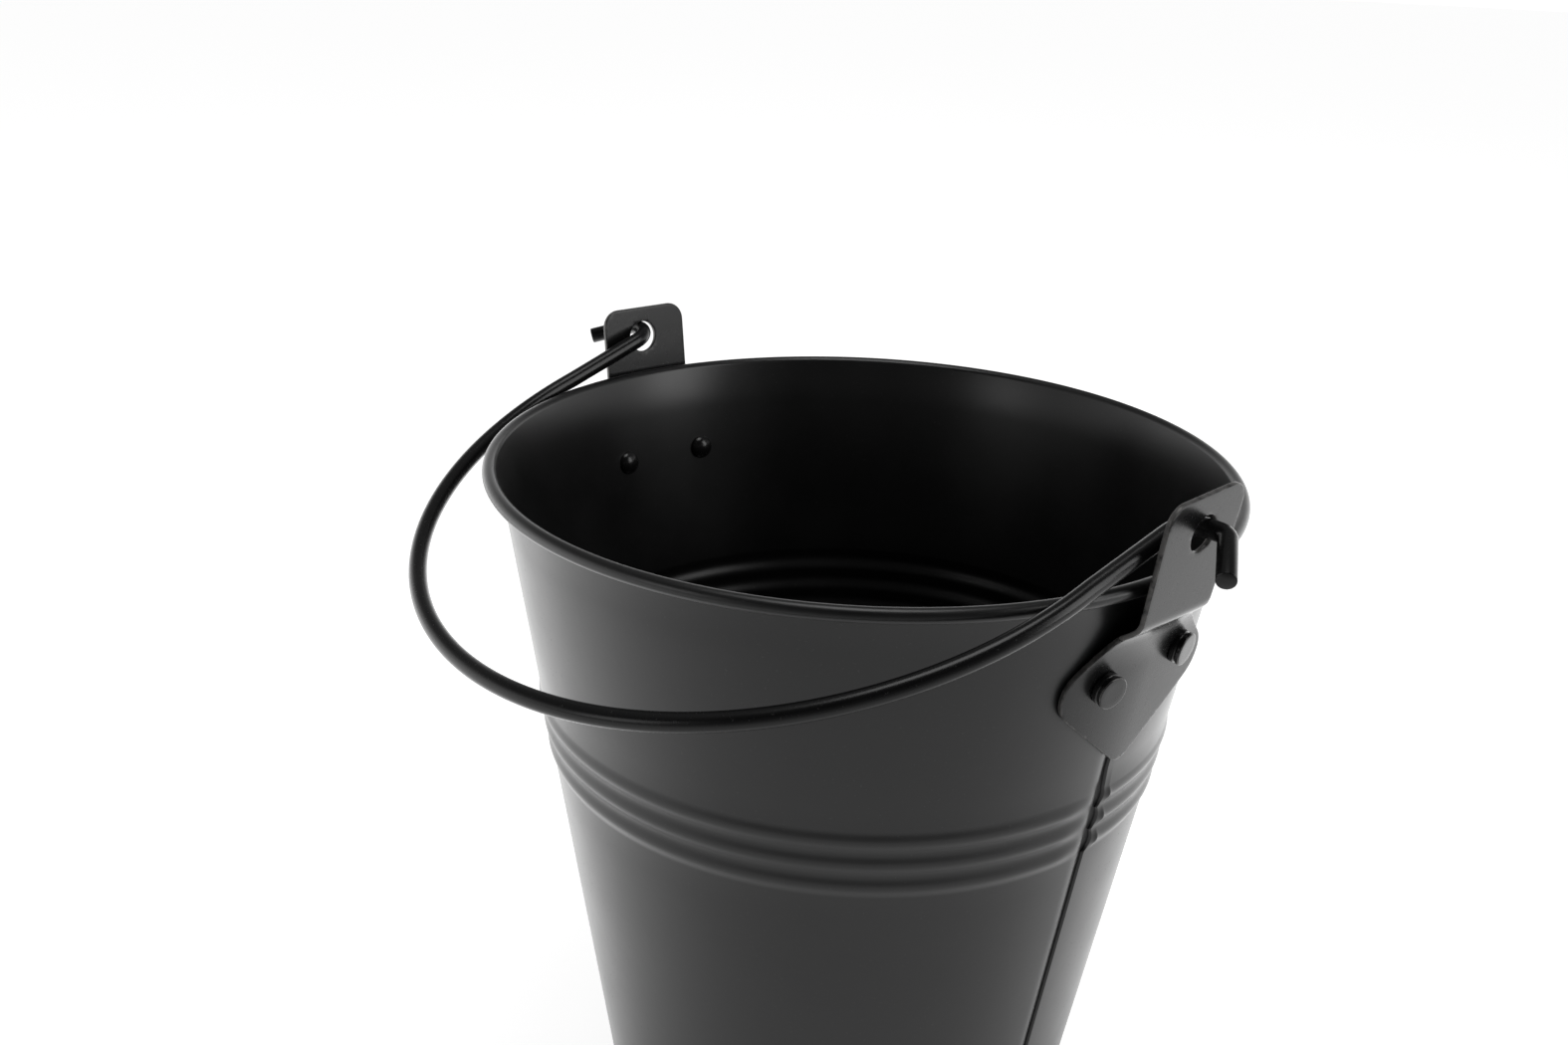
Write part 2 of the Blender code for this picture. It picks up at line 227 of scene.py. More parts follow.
# Paints: (colour, shine, roughness, depth of the orange peel, strength of the wear)
PAINTS = {
    "wall_satin_black": ((0.0080, 0.0080, 0.0082), 0.50, 0.33, 0.006 * MM, 0.5),
    "base_satin_black": ((0.0080, 0.0080, 0.0082), 0.50, 0.40, 0.008 * MM, 0.4),
    # Ear paint: the lighter steel along the ears' cut edges is wear and also a painted highlight on those
    # edges
    "ear_satin_black_edge_wear_and_highlight": ((0.0060, 0.0060, 0.0062), 0.36, 0.26, 0.007 * MM, 0.6),
    "rivet_satin_black": ((0.0070, 0.0070, 0.0072), 0.40, 0.24, 0.008 * MM, 0.5),
    "wire_semi_gloss_black": ((0.0045, 0.0045, 0.0047), 0.33, 0.25, 0.004 * MM, 0.6),
}

# Camera: where it stands, seen from the middle of the rim, and how it is turned from there
CAMERA_SIDE = radians(45.6)  # round from -Y towards +X
CAMERA_RISE = radians(18.98)
CAMERA_DISTANCE = 322.35 * MM
CAMERA_YAW = radians(2.75)
CAMERA_PITCH = radians(-2.36)
CAMERA_ROLL = radians(3.05)
SENSOR = 36.0
FOCAL_SHARE = 1.006  # focal length as a share of the sensor's width
CLIP_START = 10.0 * MM

# Studio: each glow goes (from, to, level there, level here) as a measure grows
DARK_SIDE = CAMERA_SIDE + radians(8)  # the studio is darkest here, a little to the camera's right
FLOOR_GLOW = (-0.9, 1.0, 1.9, 0.5)  # by how far a direction points to the dark side
FLOOR_END = (0.24, 0.42, 1.0, 0.2)  # by the distance towards the dark side
WALL_GLOW = (-0.2, 0.7, 1.4, 0.12)  # by how far a direction points to the dark side
OVERHEAD_FALL = (0.05, 0.55, 1.0, 0.12)  # by the height of the direction
FLOOR_SEEN = 0.88  # levels that the camera sees
BACKDROP_SEEN = 1.05
FLOOR_RADIUS = 6.0
FLOOR_SIDES = 96
FLOOR_GREY = (0.5, 0.5, 0.5, 1.0)
FLOOR_ROUGHNESS = 0.7
WHITE = (1.0, 1.0, 1.0, 1.0)
LAMP_DISTANCE = 1.2
LAMPS = {  # name: (angle round from the camera's side, angle up, width and height, power)
    "right_window": (radians(72), radians(21), (0.45, 1.0), 4.6),
    "left_window": (radians(-50), radians(12), (0.4, 0.5), 0.9),
    "overhead": (0.0, radians(88), (0.6, 0.6), 4.0),
}


# ---------------------------------------------------------------- shapes


def ease(x):
    """0 to 1 with level ends, as x goes from 0 to 1."""
    x = min(max(x, 0.0), 1.0)
    return x * x * (3.0 - 2.0 * x)


def spread(low, high, steps):
    """Evenly spaced values from low to high, both included."""
    return [low + (high - low) * i / steps for i in range(steps + 1)]


def arc(centre, radius, start, end, steps):
    """Points from one angle to another round a centre."""
    angles = spread(start, end, steps)
    return [(centre[0] + radius * cos(a), centre[1] + radius * sin(a)) for a in angles]


def rounded(corners, steps, spacing):
    """Closed outline with rounded corners (x, y, radius), and points along its sides by a spacing."""
    outline = []
    for i, (x, y, radius) in enumerate(corners):
        here = complex(x, y)
        before = complex(*corners[i - 1][:2]) - here
        after = complex(*corners[(i + 1) % len(corners)][:2]) - here
        before, after = before / abs(before), after / abs(after)
        half = abs(phase(after / before)) / 2
        centre = here + rect(radius / sin(half), phase(before + after))
        first = here + before * radius / tan(half) - centre
        last = here + after * radius / tan(half) - centre
        turn = phase(last / first)
        outline += [centre + first * rect(1.0, turn * j / steps) for j in range(steps + 1)]
    filled = []
    for start, end in zip(outline, outline[1:] + outline[:1]):
        parts = max(1, round(abs(end - start) / spacing))
        filled += [start + (end - start) * k / parts for k in range(parts)]
    return [(point.real, point.imag) for point in filled]


def cone(height):
    """Outside radius of the plain tapered wall."""
    return WALL_RADIUS + TAPER * (height - RIM_HEIGHT)


def bead(height):
    """How far the pressed beads stand out at a height."""
    along = (height - BEAD_BOTTOM) / BEAD_PITCH
    return BEAD_HEIGHT * sin(pi * along) ** 2 if 0.0 < along < BEADS else 0.0


def piece(name, mesh, node, body, material):
    """A new piece in place of a CAD node, riding on its body."""
    item = bpy.data.objects.new(name, mesh)
    bpy.context.scene.collection.objects.link(item)
    item.data.materials.append(material)
    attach(item, body)
    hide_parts(node)
    return item


def mesh_from(builder, name, sharp):
    """A mesh from a bmesh, with its faces pointing out, smooth but for edges sharper than an angle."""
    bmesh.ops.recalc_face_normals(builder, faces=builder.faces)
    mesh = bpy.data.meshes.new(name)
    builder.to_mesh(mesh)
    builder.free()
    mesh.shade_smooth()
    mesh.set_sharp_from_angle(angle=sharp)
    return mesh


def mark(mesh, exposed):
    """Store how exposed to wear each point is, from 0 to 1."""
    mesh.attributes.new("wear", "FLOAT", "POINT").data.foreach_set("value", exposed)


def loft(sections, closed):
    """A bmesh skin over sections with equal numbers of points, each section a closed ring."""
    builder = bmesh.new()
    rows = [[builder.verts.new(point) for point in section] for section in sections]
    following = rows[1:] + rows[:1] if closed else rows[1:]
    for row, other in zip(rows, following):
        for quad in zip(row, row[1:] + row[:1], other[1:] + other[:1], other):
            builder.faces.new(quad)
    if not closed:
        builder.faces.new(rows[0])
        builder.faces.new(reversed(rows[-1]))
    return builder


# ---------------------------------------------------------------- wall


def graded(total):
    """Distances from the seam, close together beside it and wide apart further off."""
    places = [0.0]
    step = FINEST
    while places[-1] + step < total:
        places.append(places[-1] + step)
        step = min(step * GROWTH, WIDEST)
    return places


def wall_heights():
    """Heights of the wall's rows, foot to neck."""
    bead_top = BEAD_BOTTOM + BEADS * BEAD_PITCH
    lower = [0.0, FOOT_EDGE] + spread(0.0, BEAD_BOTTOM, LOWER_ROWS)[1:-1]
    beads = spread(BEAD_BOTTOM, bead_top, BEAD_ROWS * BEADS)
    upper = spread(bead_top, NECK_BOTTOM, UPPER_ROWS)[1:-1]
    return lower + beads + upper + spread(NECK_BOTTOM, NECK_TOP, NECK_ROWS)


def left_side(height, distance):
    """Left of the seam: (distance round, outside offset, inside offset). The beads fade, the sheet dips."""
    depth = max(1.0 - distance / DIP_WIDTH, 0.0)
    dip = SEAM_STEP * depth**2
    standing = bead(height) * ease(distance / BEAD_FADE)
    return -distance, standing - dip, standing - SHEET - SHEET * depth**2


def right_side(height, distance, drop):
    """The same right of the seam: the sheared edge, lower by drop, and the beads that start behind it."""
    lift = BEAD_LIFT * (1.0 - ease(distance / BEAD_SETTLE))
    standing = bead(height - lift)
    notch = sqrt(sin(pi * ((height - lift - BEAD_BOTTOM) / BEAD_PITCH % 1.0))) if standing else 0.0
    drawn = BEAD_DRAW * notch * (1.0 - ease(distance / (2.0 * BEAD_START)))
    bulge = BEAD_BULGE * exp(-abs(distance - BEAD_START) / BULGE_WIDTH)
    standing *= BEAD_LEAST + (1.0 - BEAD_LEAST) * min(distance / BEAD_START, 1.0) + bulge
    under = SHEET * (1.0 - ease((distance - OVERLAP) / HIDDEN_STEP))
    return SEAM_SHIFT + drawn + distance, standing - drop, standing - SHEET - under


def wall_section(side):
    """All round the sheet's upright section at one column, whose place at a height is side(height)."""
    outside = []
    inside = []
    for height in wall_heights():
        distance, outer, inner = side(height)
        neck = (max(height - NECK_BOTTOM, 0.0) / (NECK_TOP - NECK_BOTTOM)) ** 2
        angle = SEAM_ANGLE + distance / RIM_RADIUS
        radius = cone(height) + FLARE * neck
        outer = radius + outer * (1.0 - neck)
        inner = radius - SHEET + (inner + SHEET) * (1.0 - neck)
        outside.append((outer * cos(angle), outer * sin(angle), height))
        inside.append((inner * cos(angle), inner * sin(angle), height))
    centre = (RIM_RADIUS, RIM_HEIGHT)  # the roll stands at the angle of the neck's top, the last height
    hollow = arc(centre, ROLL_RADIUS - SHEET, ROLL_START, ROLL_END, ROLL_STEPS[0])
    roll = arc(centre, ROLL_RADIUS, ROLL_END, ROLL_START, ROLL_STEPS[1])
    rim = [(r * cos(angle), r * sin(angle), z) for r, z in hollow + roll]
    return outside + rim + inside[::-1]


def make_wall(material):
    """The sheet-steel wall, from the left of the seam right round to its cut edge."""
    half = pi * RIM_RADIUS
    edge = [(SEAM_BEVEL * width, SEAM_STEP * depth) for width, depth in SHEARED]
    behind = edge[-1][0]
    rights = edge + [(behind + d, 0.0) for d in graded(half - behind - SEAM_SHIFT)[1:]]
    sections = [wall_section(lambda z, d=d: left_side(z, d)) for d in graded(half)]
    sections += [wall_section(lambda z, d=d, c=c: right_side(z, d, c)) for d, c in reversed(rights)]
    mesh = mesh_from(loft(sections, closed=True), "steel_wall", sharp=WALL_CREASE)

    def worn(co):
        """Wear at a place: on the crest of the rim and at the foot."""
        reach_down, strength = RIM_WEAR
        crest = 1.0 - abs(co.z - RIM_HEIGHT - ROLL_RADIUS) / reach_down
        foot = 1.0 - co.z / FOOT_WEAR
        return max(strength * crest, foot, 0.0)

    mark(mesh, [worn(vertex.co) for vertex in mesh.vertices])
    piece("steel_wall", mesh, "wall", "bucket", material)


# ---------------------------------------------------------------- turned pieces


def turned(name, profile, sides):
    """A mesh turned about Z from a profile (radius, height) that runs from the axis to the axis."""
    builder = bmesh.new()
    rings = []
    for radius, height in profile:
        if radius == 0.0:
            rings.append([builder.verts.new((0.0, 0.0, height))])
            continue
        points = arc((0.0, 0.0), radius, 0.0, 2.0 * pi, sides)[:-1]
        rings.append([builder.verts.new((x, y, height)) for x, y in points])
    for ring, other in zip(rings, rings[1:]):
        for i in range(sides):
            j = (i + 1) % sides
            corners = [ring[i % len(ring)], ring[j % len(ring)]]
            corners += [other[j % len(other)], other[i % len(other)]]
            builder.faces.new(list(dict.fromkeys(corners)))  # a triangle beside the axis
    return mesh_from(builder, name, sharp=CREASE_ANGLE)


def make_pan(material):
    """The base: a disc whose flange stands up just inside the wall."""

    def flange(height):
        return cone(height) - 2.0 * SHEET - PAN_CLEAR

    corner = (flange(PAN_BEND) - PAN_BEND, PAN_BEND)
    top = flange(PAN_FLANGE)
    shoulder = PAN_FLANGE - PAN_CHAMFER
    rings = spread(0.0, corner[0], PAN_RINGS)[:-1]
    profile = [(radius, SHEET) for radius in rings]
    profile += arc(corner, PAN_BEND - SHEET, -pi / 2, 0.0, steps=6)
    profile += [(top - SHEET, shoulder), (top - SHEET + PAN_CHAMFER, PAN_FLANGE)]
    profile += [(top - PAN_CHAMFER, PAN_FLANGE), (top, shoulder)]
    profile += arc(corner, PAN_BEND, 0.0, -pi / 2, steps=8)
    profile += [(radius, 0.0) for radius in reversed(rings)]
    mesh = turned("steel_base_pan", profile, sides=180)
    mark(mesh, [max(0.0, 1.0 - abs(vertex.co.z - PAN_FLANGE) / EDGE_WEAR) for vertex in mesh.vertices])
    piece("steel_base_pan", mesh, "base_pan", "bucket", material)


def rivet_profile():
    """Flat head with a groove round its side, shank, and the domed end inside the bucket."""
    middle = (HEAD_TOP + HEAD_UNDER) / 2
    share, fall = HEAD_CROWN
    profile = [(0.0, HEAD_TOP), (HEAD_RADIUS * share, HEAD_TOP - fall)]
    profile += arc((HEAD_RADIUS - HEAD_ROUND, HEAD_TOP - HEAD_ROUND), HEAD_ROUND, pi / 2, 0.0, steps=5)
    profile += arc((HEAD_RADIUS, middle), HEAD_GROOVE, pi / 2, 3 * pi / 2, steps=6)
    profile += arc((HEAD_RADIUS - HEAD_LIP, HEAD_UNDER + HEAD_LIP), HEAD_LIP, 0.0, -pi / 2, steps=3)
    dome_base = -SHEET - SNAP_CLEAR
    profile += [(SHANK, HEAD_UNDER), (SHANK, dome_base)]
    dome = arc((0.0, 0.0), 1.0, 0.0, -pi / 2, steps=10)
    profile += [(SNAP_RADIUS * x, dome_base + SNAP_THICK * y) for x, y in dome[:-1]]
    return profile + [(0.0, dome_base - SNAP_THICK)]


def make_rivet(node, material):
    """A rivet through an ear and the wall."""
    side, turn, rise = RIVETS[node]
    angle = EARS[side] + turn
    radius = cone(RIM_HEIGHT + rise)
    centre = Vector((radius * cos(angle), radius * sin(angle), RIM_HEIGHT + rise))
    outward = Vector((cos(angle), sin(angle), -TAPER)).normalized()
    name = "painted_" + node
    mesh = turned(name, rivet_profile(), sides=48)

    def worn(co):
        """Wear at a place: round the edge of the head's face."""
        outward_share = (hypot(co.x, co.y) / HEAD_RADIUS - HEAD_WEAR) / (1.0 - HEAD_WEAR)
        return ease(outward_share) if co.z > HEAD_TOP - HEAD_ROUND else 0.0

    mark(mesh, [worn(vertex.co) for vertex in mesh.vertices])
    stand = Vector((0.0, 0.0, 1.0)).rotation_difference(outward).to_matrix().to_4x4()
    mesh.transform(Matrix.Translation(centre) @ stand)
    piece(name, mesh, node, "bucket", material)


# ---------------------------------------------------------------- ears


def ear_blank(side):
    """The flat blank as fine triangles: (points, triangles, distance of each point from a cut edge)."""
    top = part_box("ear_" + side)[1].z - RIM_HEIGHT
    right = [
        (TAB_HALF, top, TAB_CORNER),
        (TAB_HALF, PLATE_TOP, BLANK_BEND),
        (*SIDE_CORNER, SIDE_ROUND),
    ]
    left = [(-x, y, radius) for x, y, radius in reversed(right)]
    if side == "right":
        right[0] = (TAB_HALF, top + TAB_RISE, TAB_CORNER)
        right[1] = (TAB_HALF - TAB_TAPER, PLATE_TOP, BLANK_BEND)
    loops = [rounded(right + [(0.0, TIP, TIP_ROUND)] + left, steps=10, spacing=CUT_GRID)]
    holes = [(*HOLES[side], PIVOT_HOLE)]
    for ear, turn, rise in RIVETS.values():
        if ear == side:
            holes.append((cone(RIM_HEIGHT + rise) * turn, rise, SHANK + RIVET_CLEAR))
    loops += [arc((x, y), radius, 0.0, 2.0 * pi, HOLE_STEPS)[:-1] for x, y, radius in holes]

    def in_hole(x, y):
        return any(hypot(x - hole_x, y - hole_y) < radius for hole_x, hole_y, radius in holes)

    cut = [point for loop in loops for point in loop]
    edges = []
    start = 0
    for loop in loops:
        edges += [(start + i, start + (i + 1) % len(loop)) for i in range(len(loop))]
        start += len(loop)

    def from_cut(x, y):
        return min(hypot(x - cut_x, y - cut_y) for cut_x, cut_y in cut)

    points = list(cut)
    half = int(SIDE_CORNER[0] / EAR_GRID)
    level = TIP
    while level < top + TAB_RISE:
        row = [(column * EAR_GRID, level) for column in range(-half, half + 1)]
        points += [point for point in row if from_cut(*point) > CUT_CLEAR and not in_hole(*point)]
        level += BEND_GRID if BEND_ZONE[0] < level < BEND_ZONE[1] else EAR_GRID
    keep_inside = 1
    blank = delaunay_2d_cdt([Vector(p) for p in points], edges, [], keep_inside, SAME_POINT)
    flat, _, faces, *_ = blank
    middles = [sum((flat[i] for i in face), Vector((0.0, 0.0))) / 3 for face in faces]
    sheet = [face for face, middle in zip(faces, middles) if not in_hole(*middle)]
    return flat, sheet, [from_cut(*point) for point in flat]


def soft(x, width):
    """0 below zero and x above it, with the corner rounded over a width."""
    return width * log(1.0 + exp(x / width)) if x < 20.0 * width else x


def bend_ear(across, rise):
    """Where a point of the blank goes on an ear that stands at +X."""
    height = RIM_HEIGHT + rise
    sprung = max(rise - SPRING_START, 0.0) / (PLATE_TOP - SPRING_START)
    radius = cone(height) + EAR_CLEAR + SPRING * sprung**2
    turn = across / cone(height)
    plate = Vector((radius * cos(turn), radius * sin(turn), height))
    stretch = max(across - EAR_FLAT, 0.0)
    plate.x += (1.0 - EAR_CURVE) * stretch**2 / (2.0 * radius)
    tab = Vector((TAB_RADIUS + TAB_LEAN * rise, across, height))
    step = soft(rise - PLATE_TOP, CREASE_ROUND) - soft(rise - CREASE, CREASE_ROUND)
    return plate.lerp(tab, step / (CREASE - PLATE_TOP))


def make_ear(side, material):
    """An ear of bent sheet: plate on the wall, step out under the rim, and tab with the pivot hole."""
    flat, faces, away = ear_blank(side)
    name = "steel_ear_" + side
    mesh = bpy.data.meshes.new(name)
    turn = Matrix.Rotation(EARS[side], 3, "Z")
    mesh.from_pydata([turn @ bend_ear(p.x, p.y) for p in flat], [], faces)
    mesh.update()
    if sum(polygon.normal.dot(polygon.center) for polygon in mesh.polygons) < 0.0:
        mesh.flip_normals()
    mesh.shade_smooth()
    # Lighter steel along the cut edges: wear, and also a painted highlight on the edges
    mark(mesh, [max(0.0, 1.0 - distance / EDGE_WEAR) for distance in away])
    ear = piece(name, mesh, "ear_" + side, "bucket", material)
    shell = ear.modifiers.new("Sheet", "SOLIDIFY")
    shell.thickness = EAR_SHEET
    shell.offset = 1.0
    shell.use_even_offset = True
    soften = ear.modifiers.new("Rounded edges", "BEVEL")
    soften.width = EAR_EDGE
    soften.segments = EAR_EDGE_STEPS
    soften.limit_method = "ANGLE"
    soften.angle_limit = CREASE_ANGLE
    soften.use_clamp_overlap = False
    ear.modifiers.new("Flat faces", "WEIGHTED_NORMAL")


# ---------------------------------------------------------------- bail


def half_bail(tail_start, tail_end):
    """One half of the bent wire's centre line, from its tail to the middle of the bow."""
    corner = tail_start + TAIL_BEND * tan(TAIL_LEAN / 2)
    points = [(corner + tail_end / tan(TAIL_LEAN), tail_end)]
    points += arc((tail_start, TAIL_BEND), TAIL_BEND, TAIL_LEAN - pi / 2, -pi / 2, BEND_STEPS)
    foot = BOW + (LEG - BEND) * tan(SPLAY)
    points += arc((foot + BEND, BEND), BEND, -pi / 2, -pi, BEND_STEPS)
    leg = zip(spread(foot, BOW, LEG_STEPS), spread(BEND, LEG, LEG_STEPS))
    points += list(leg)[1:-1]
    points += arc((0.0, LEG), BOW, 0.0, pi / 2, BOW_STEPS)
    return points


def make_bail(material):
    """The wire bail: a round section swept along its centre line, with slightly rounded cut ends."""
    right, left = (half_bail(*tail) for tail in TAILS)
    path = [Vector((x, -y, 0.0)) for x, y in right + [(-x, y) for x, y in reversed(left[:-1])]]
    spots = []
    for i, centre in enumerate(path):
        before = path[max(i - 1, 0)]
        after = path[min(i + 1, len(path) - 1)]
        spots.append((centre, (after - before).normalized(), WIRE))
    (first, first_along, _), (last, last_along, _) = spots[0], spots[-1]
    for share in END_RINGS:
        out = WIRE_ROUND * share
        radius = WIRE - WIRE_ROUND * share**2
        spots.insert(0, (first - first_along * out, first_along, radius))
        spots.append((last + last_along * out, last_along, radius))
    sections = []
    for centre, along, radius in spots:
        aside = along.cross(Vector((0.0, 0.0, 1.0)))
        ring = arc((0.0, 0.0), radius, 0.0, 2.0 * pi, WIRE_STEPS)[:-1]
        sections.append([centre + x * aside + Vector((0.0, 0.0, y)) for x, y in ring])
    mesh = mesh_from(loft(sections, closed=False), "wire_bail", sharp=CREASE_ANGLE)

    def worn(co):
        """Wear at a place: at the cut ends, and where the wire rubs in the ears' holes."""
        at_end = max(1.0 - (co - end).length / END_WEAR for end in (first, last))
        width, strength = RUB_WEAR
        rubbing = 1.0 - abs(abs(co.x) - RUB_PLACE) / width
        return max(at_end, strength * rubbing, 0.0)

    mark(mesh, [worn(vertex.co) for vertex in mesh.vertices])
    askew = Vector((1.0, 0.0, 0.0)).rotation_difference(PIVOT_LINE).to_matrix().to_4x4()
    mesh.transform(Matrix.Translation(PIVOT) @ askew @ Matrix.Rotation(BAIL_REST, 4, "X"))
    piece("wire_bail", mesh, "bail_handle", "bail", material)


# ---------------------------------------------------------------- shader nodes


def noise(tree, place, size, detail):
    """Noise whose features are about size across."""
    node = tree.nodes.new("ShaderNodeTexNoise")
    node.inputs["Scale"].default_value = 1.0 / size
    node.inputs["Detail"].default_value = detail
    tree.links.new(place, node.inputs["Vector"])
    return node.outputs["Fac"]


def span(tree, value, low, high, to_low, to_high, style="LINEAR"):
    """The value moved from one range to another, and held inside it."""
    node = tree.nodes.new("ShaderNodeMapRange")
    node.interpolation_type = style
    for name, number in zip(RANGE_SOCKETS, (low, high, to_low, to_high)):
        node.inputs[name].default_value = number
    tree.links.new(value, node.inputs["Value"])
    return node.outputs["Result"]


def combine(tree, operation, first, second):
    """Two sockets or numbers put together."""
    node = tree.nodes.new("ShaderNodeMath")
    node.operation = operation
    for socket, value in zip(node.inputs, (first, second)):
        if isinstance(value, float):
            socket.default_value = value
        else:
            tree.links.new(value, socket)
    return node.outputs["Value"]


def blend(tree, factor, first, second):
    """From the first colour to the second by a factor. Each is a socket or a colour."""
    node = tree.nodes.new("ShaderNodeMix")
    node.data_type = "RGBA"
    tree.links.new(factor, node.inputs["Factor"])
    colours = [socket for socket in node.inputs if socket.type == "RGBA"]
    for socket, value in zip(colours, (first, second)):
        if isinstance(value, tuple):
            socket.default_value = (*value, 1.0)
        else:
            tree.links.new(value, socket)
    return next(socket for socket in node.outputs if socket.type == "RGBA")


# ---------------------------------------------------------------- finishes


def paint(name, colour, shine, roughness, peel, chip):
    """Paint on steel: orange peel, cloudy gloss, specks of dust, and wear where the mesh is marked (on the
    ears also a painted edge highlight).
    """
    material = bpy.data.materials.new(name)
    material.use_nodes = True
    tree = material.node_tree
    shader = tree.nodes["Principled BSDF"].inputs
    shader["Specular IOR Level"].default_value = shine
    place = tree.nodes.new("ShaderNodeTexCoord").outputs["Object"]

    clouds = noise(tree, place, *CLOUDS)
    specks = span(tree, noise(tree, place, *SPECKS), *SPECKED, 0.0, 1.0)
    marked = tree.nodes.new("ShaderNodeAttribute")
    marked.attribute_name = "wear"
    patchy = combine(tree, "ADD", marked.outputs["Fac"], noise(tree, place, *PATCHES))
    worn = span(tree, patchy, *WORN, 0.0, chip)

    darker, lighter = (tuple(share * c for c in colour) for share in CLOUD_TINT)
    dust = tuple(c + DUST_TINT for c in colour)
    tint = blend(tree, span(tree, clouds, *CLOUDY, 0.0, 1.0), darker, lighter)
    tint = blend(tree, combine(tree, "MULTIPLY", specks, DUST_COVER), tint, dust)
    tree.links.new(blend(tree, worn, tint, BARE_STEEL), shader["Base Color"])

    gloss = span(tree, clouds, *CLOUDY, roughness - CLOUD_GLOSS, roughness + CLOUD_GLOSS)
    for feature in (specks, worn):
        gloss = combine(tree, "ADD", gloss, combine(tree, "MULTIPLY", feature, ROUGHER))
    tree.links.new(gloss, shader["Roughness"])
    tree.links.new(combine(tree, "MULTIPLY", worn, BARE_METALLIC), shader["Metallic"])

    swell = combine(tree, "MULTIPLY", noise(tree, place, *SWELL), SWELL_DEPTH)
    relief = combine(tree, "ADD", noise(tree, place, *GRAIN), swell)
    relief = combine(tree, "SUBTRACT", relief, combine(tree, "MULTIPLY", worn, WEAR_DEPTH))
    bump = tree.nodes.new("ShaderNodeBump")
    bump.inputs["Strength"].default_value = 1.0
    bump.inputs["Distance"].default_value = peel
    tree.links.new(relief, bump.inputs["Height"])
    tree.links.new(bump.outputs["Normal"], shader["Normal"])
    return material


# ---------------------------------------------------------------- studio


def forward(tree, place):
    """How far a place lies towards the studio's dark side."""
    toward = tree.nodes.new("ShaderNodeVectorMath")
    toward.operation = "DOT_PRODUCT"
    toward.inputs[1].default_value = (sin(DARK_SIDE), -cos(DARK_SIDE), 0.0)
    tree.links.new(place, toward.inputs[0])
    return toward.outputs["Value"]


def by_direction(tree, place, glow):
    """The level of a glow that goes by how far the direction to a place points to the dark side."""
    unit = tree.nodes.new("ShaderNodeVectorMath")
    unit.operation = "NORMALIZE"
    tree.links.new(place, unit.inputs[0])
    return span(tree, forward(tree, unit.outputs["Vector"]), *glow, style="SMOOTHSTEP")


def for_the_eye(tree, glow, seen):
    """One even level where the camera looks, and the glow in reflections."""
    mix = tree.nodes.new("ShaderNodeMix")
    mix.inputs["B"].default_value = seen
    tree.links.new(tree.nodes.new("ShaderNodeLightPath").outputs["Is Camera Ray"], mix.inputs["Factor"])
    tree.links.new(glow, mix.inputs["A"])
    return mix.outputs["Result"]


def make_floor():
    """A wide, plain pale floor. In reflections it glows most behind the bucket and beside it."""
    builder = bmesh.new()
    bmesh.ops.create_circle(builder, cap_ends=True, segments=FLOOR_SIDES, radius=FLOOR_RADIUS)
    mesh = bpy.data.meshes.new("studio_floor")
    builder.to_mesh(mesh)
    builder.free()
    floor = bpy.data.objects.new("studio_floor", mesh)
    bpy.context.scene.collection.objects.link(floor)
    material = bpy.data.materials.new("floor_white")
    material.use_nodes = True
    tree = material.node_tree
    shader = tree.nodes["Principled BSDF"]
    shader.inputs["Base Color"].default_value = FLOOR_GREY
    shader.inputs["Roughness"].default_value = FLOOR_ROUGHNESS
    shader.inputs["Specular IOR Level"].default_value = 0.0
    shader.inputs["Emission Color"].default_value = WHITE
    place = tree.nodes.new("ShaderNodeTexCoord").outputs["Object"]
    ending = span(tree, forward(tree, place), *FLOOR_END, style="SMOOTHSTEP")
    glow = combine(tree, "MULTIPLY", by_direction(tree, place, FLOOR_GLOW), ending)
    tree.links.new(for_the_eye(tree, glow, FLOOR_SEEN), shader.inputs["Emission Strength"])
    mesh.materials.append(material)


def soft_box(name, side, rise, size, power):
    """A rectangular area light that faces the middle of the rim. The camera doesn't see it."""
    turn = CAMERA_SIDE + side
    direction = Vector((sin(turn) * cos(rise), -cos(turn) * cos(rise), sin(rise)))
    lamp = bpy.data.lights.new(name, "AREA")
    lamp.shape = "RECTANGLE"
    lamp.size, lamp.size_y = size
    lamp.energy = power
    item = bpy.data.objects.new(name, lamp)
    bpy.context.scene.collection.objects.link(item)
    item.location = Vector((0.0, 0.0, RIM_HEIGHT)) + direction * LAMP_DISTANCE
    item.rotation_mode = "QUATERNION"
    item.rotation_quaternion = direction.to_track_quat("Z", "Y")
    item.visible_camera = False


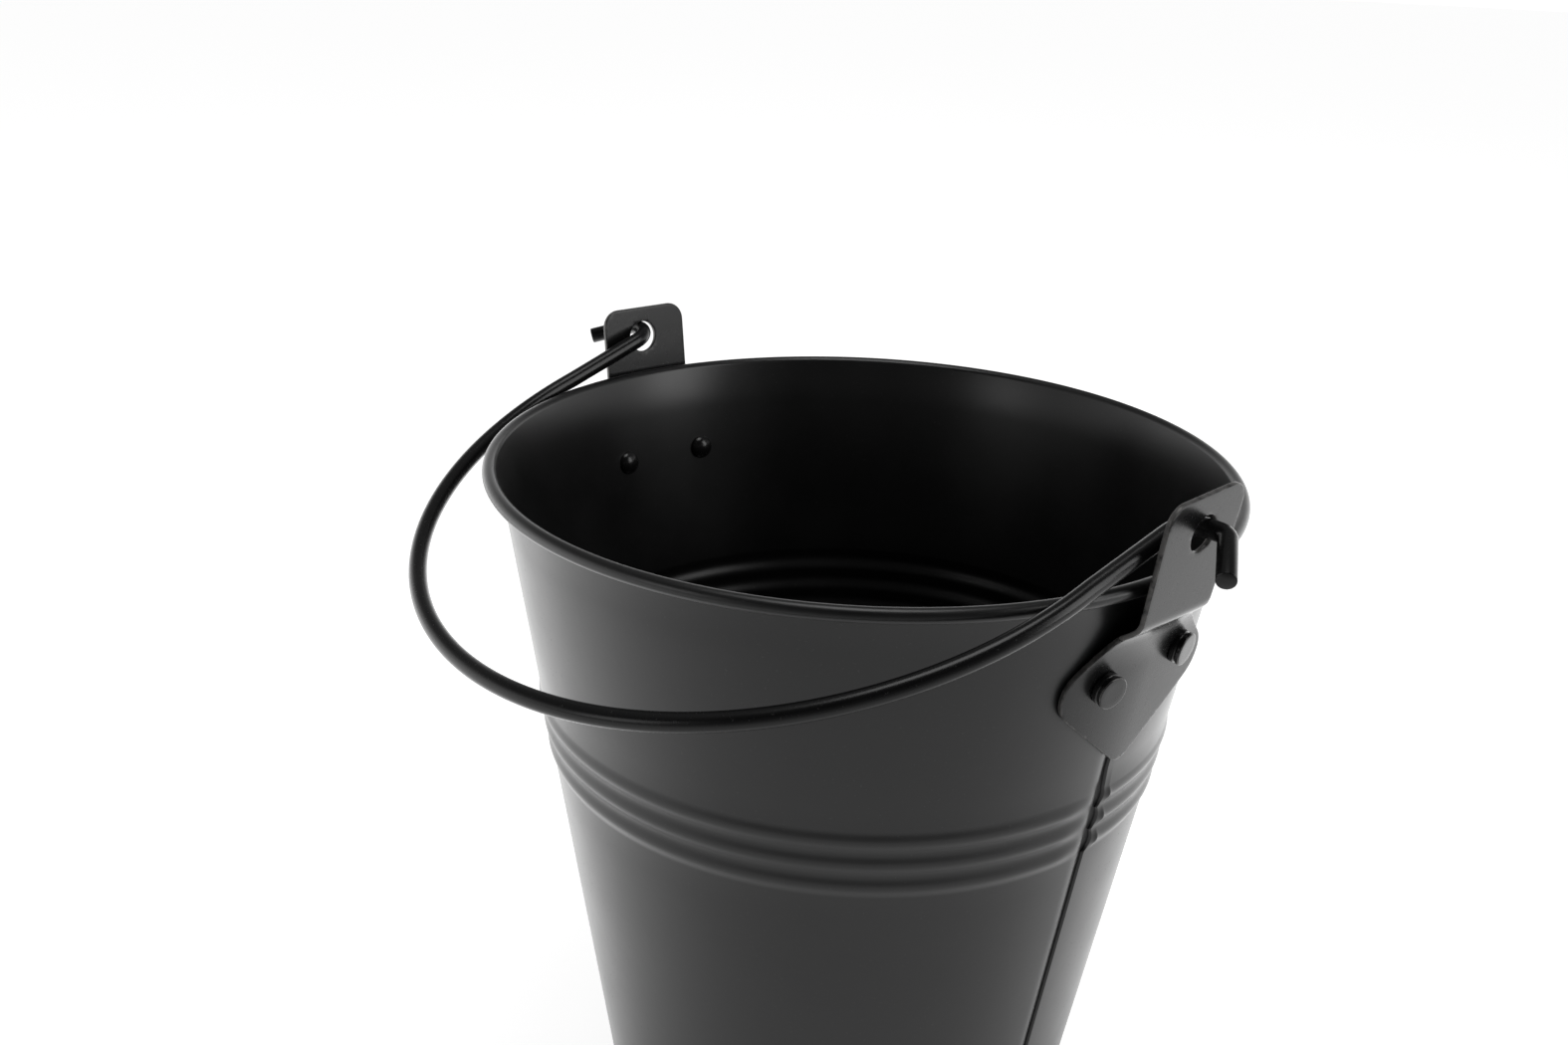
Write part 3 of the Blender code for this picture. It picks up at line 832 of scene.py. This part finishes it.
def make_world():
    """White all round for the camera. In reflections it is dark behind the camera and overhead."""
    world = bpy.data.worlds.new("studio")
    bpy.context.scene.world = world
    world.use_nodes = True
    tree = world.node_tree
    direction = tree.nodes.new("ShaderNodeTexCoord").outputs["Generated"]
    height = tree.nodes.new("ShaderNodeSeparateXYZ")
    tree.links.new(direction, height.inputs["Vector"])
    fall = span(tree, height.outputs["Z"], *OVERHEAD_FALL, style="SMOOTHSTEP")
    glow = combine(tree, "MULTIPLY", by_direction(tree, direction, WALL_GLOW), fall)
    background = tree.nodes["Background"]
    background.inputs["Color"].default_value = WHITE
    tree.links.new(for_the_eye(tree, glow, BACKDROP_SEEN), background.inputs["Strength"])


def make_camera():
    """The camera, turned a little aside from the middle of the rim."""
    level = Vector((sin(CAMERA_SIDE), -cos(CAMERA_SIDE), 0.0))
    back = level * cos(CAMERA_RISE) + Vector((0.0, 0.0, sin(CAMERA_RISE)))
    right = Vector((0.0, 0.0, 1.0)).cross(back).normalized()
    up = back.cross(right)
    aim = Matrix((right, up, back)).transposed().to_4x4()
    for angle, axis in ((CAMERA_YAW, "Y"), (CAMERA_PITCH, "X"), (CAMERA_ROLL, "Z")):
        aim = aim @ Matrix.Rotation(angle, 4, axis)
    lens = bpy.data.cameras.new("camera")
    lens.sensor_width = SENSOR
    lens.lens = SENSOR * FOCAL_SHARE
    lens.clip_start = CLIP_START
    camera = bpy.data.objects.new("camera", lens)
    bpy.context.scene.collection.objects.link(camera)
    stand = Vector((0.0, 0.0, RIM_HEIGHT)) + back * CAMERA_DISTANCE
    camera.matrix_world = Matrix.Translation(stand) @ aim
    bpy.context.scene.camera = camera


def main():
    """The bucket's pieces, then the studio round them."""
    paints = {name: paint(name, *look) for name, look in PAINTS.items()}
    make_wall(paints["wall_satin_black"])
    make_pan(paints["base_satin_black"])
    for side in EARS:
        make_ear(side, paints["ear_satin_black_edge_wear_and_highlight"])
    for node in RIVETS:
        make_rivet(node, paints["rivet_satin_black"])
    make_bail(paints["wire_semi_gloss_black"])

    make_floor()
    make_world()
    for name, lamp in LAMPS.items():
        soft_box(name, *lamp)
    make_camera()
    bpy.context.scene.view_settings.view_transform = "Standard"


main()
